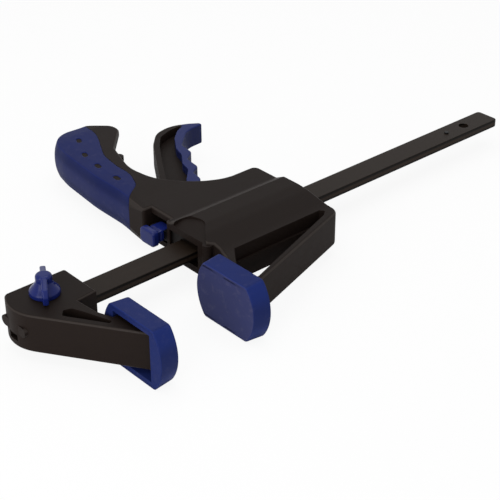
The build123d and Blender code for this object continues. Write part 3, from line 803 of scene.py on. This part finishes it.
class CLAMP_OT_finishes(bpy.types.Operator):
    """Give the construction's own pieces their finishes"""
    bl_idname = "clamp.finishes"
    bl_label = "Finishes"

    def execute(self, context):
        colours = context.scene.clamp.colours
        groups = [
            (PLASTIC_NODES, moulded_black(colours)),
            (("bar",), black_oxide(colours)),
            (ZINC_NODES, plated_steel("zinc_plate", colours.zinc, roughness=0.24, feature=0.4 * MM)),
            (PLATE_NODES, plated_steel("blued_plate", colours.plate, roughness=0.36, feature=0.6 * MM)),
            (DARK_NODES, black_screw(colours)),
        ]
        for names, material in groups:
            for name in names:
                dress(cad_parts[name], material)
        return {"FINISHED"}


class CLAMP_OT_stage(bpy.types.Operator):
    """Set up floor, surrounding light, lamps and camera"""
    bl_idname = "clamp.stage"
    bl_label = "Stage"

    def execute(self, context):
        stage = context.scene.clamp.stage
        context.scene.view_settings.view_transform = "Standard"
        self.floor()
        self.surroundings(context.scene, stage)
        self.lamp("overhead_softbox", OVERHEAD_PLACE, OVERHEAD_SIZE, stage.key)
        self.lamp("side_softbox", SIDE_PLACE, SIDE_SIZE, stage.fill)
        self.camera(context.scene, stage)
        return {"FINISHED"}

    def floor(self):
        """Pale floor that shows near white and keeps the clamp's shadow."""
        deselect()
        bpy.ops.mesh.primitive_plane_add(size=FLOOR_SIZE, location=(0.0, 0.0, CAD_BOX[0].z))
        bpy.ops.object.transform_apply(location=True)
        floor = bpy.context.view_layer.objects.active
        floor.name = floor.data.name = "floor"
        finish = Finish("pale_floor")
        paper = finish.noise(20 * MM)
        finish.set(base_color=finish.mix(paper, FLOOR_DARK, FLOOR_LIGHT), roughness=0.9)
        seen = finish.node("LightPath", output="Is Camera Ray")
        glow = finish.node("Emission", {}, {"Color": (1, 1, 1, 1), "Strength": 1.0})
        shader = Wire(finish, finish.shader.outputs[0])
        mixed = finish.node("MixShader", {}, {0: seen * FLOOR_GLOW, 1: shader, 2: glow})
        finish.feed(finish.tree.nodes["Material Output"].inputs["Surface"], mixed)
        dress(floor, finish.material)

    def surroundings(self, scene, stage):
        """White to the eye and in gloss, softer as light."""
        world = bpy.data.worlds.new("studio")
        world.use_nodes = True
        scene.world = world
        graph = Graph(world.node_tree)
        seen = graph.node("LightPath", output="Is Camera Ray")
        rays = seen.socket.node.outputs
        for kind in ("Is Glossy Ray", "Is Transmission Ray"):
            seen = seen.over(Wire(graph, rays[kind]))
        background = graph.tree.nodes["Background"]
        background.inputs["Color"].default_value = (1, 1, 1, 1)
        graph.feed(background.inputs["Strength"], stage.ambient + seen * (1.0 - stage.ambient))

    def lamp(self, name, place, size, watts):
        """A square softbox that faces the clamp."""
        deselect()
        aim = Vector(bpy.context.scene.clamp.stage.target) - Vector(place)
        turn = aim.to_track_quat("-Z", "Y").to_euler()
        bpy.ops.object.light_add(type="AREA", location=place, rotation=turn)
        lamp = bpy.context.view_layer.objects.active
        lamp.name = lamp.data.name = name
        lamp.data.size = size
        lamp.data.energy = watts

    def camera(self, scene, stage):
        """Long-lens view from above the fixed jaw."""
        deselect()
        turn = (
            Matrix.Rotation(stage.azimuth, 4, "Z")
            @ Matrix.Rotation(math.pi / 2 - stage.elevation, 4, "X")
            @ Matrix.Rotation(stage.roll, 4, "Z")
        )
        place = Vector(stage.target) + turn.to_3x3().col[2] * stage.distance
        bpy.ops.object.camera_add(location=place, rotation=turn.to_euler())
        camera = bpy.context.view_layer.objects.active
        camera.name = camera.data.name = "view"
        camera.data.sensor_width = SENSOR_WIDTH
        camera.data.lens = stage.focal
        camera.data.clip_end = FARTHEST
        scene.camera = camera


STEPS = (
    CLAMP_OT_jaw_pads,
    CLAMP_OT_grip_cover,
    CLAMP_OT_trigger_grip,
    CLAMP_OT_hard_blue,
    CLAMP_OT_springs,
    CLAMP_OT_finishes,
    CLAMP_OT_stage,
)


class ClampSettings(bpy.types.PropertyGroup):
    """Everything that can be changed on the clamp."""
    pads: PointerProperty(type=PadSizes)
    grips: PointerProperty(type=GripSizes)
    springs: PointerProperty(type=SpringSizes)
    colours: PointerProperty(type=Colours)
    stage: PointerProperty(type=StageSettings)


class CLAMP_PT_sidebar(bpy.types.Panel):
    """The clamp's steps, in order"""
    bl_idname = "CLAMP_PT_sidebar"
    bl_label = "Bar Clamp"
    bl_space_type = "VIEW_3D"
    bl_region_type = "UI"
    bl_category = "Bar Clamp"

    def draw(self, context):
        for step in STEPS:
            self.layout.operator(step.bl_idname)


CLASSES = (PadSizes, GripSizes, SpringSizes, Colours, StageSettings, ClampSettings, *STEPS, CLAMP_PT_sidebar)


def register():
    for cls in CLASSES:
        bpy.utils.register_class(cls)
    bpy.types.Scene.clamp = PointerProperty(type=ClampSettings)


def unregister():
    del bpy.types.Scene.clamp
    for cls in reversed(CLASSES):
        bpy.utils.unregister_class(cls)


def main():
    register()
    for step in STEPS:
        group, name = step.bl_idname.split(".")
        getattr(getattr(bpy.ops, group), name)()
    deselect()


if __name__ == "__main__":
    main()
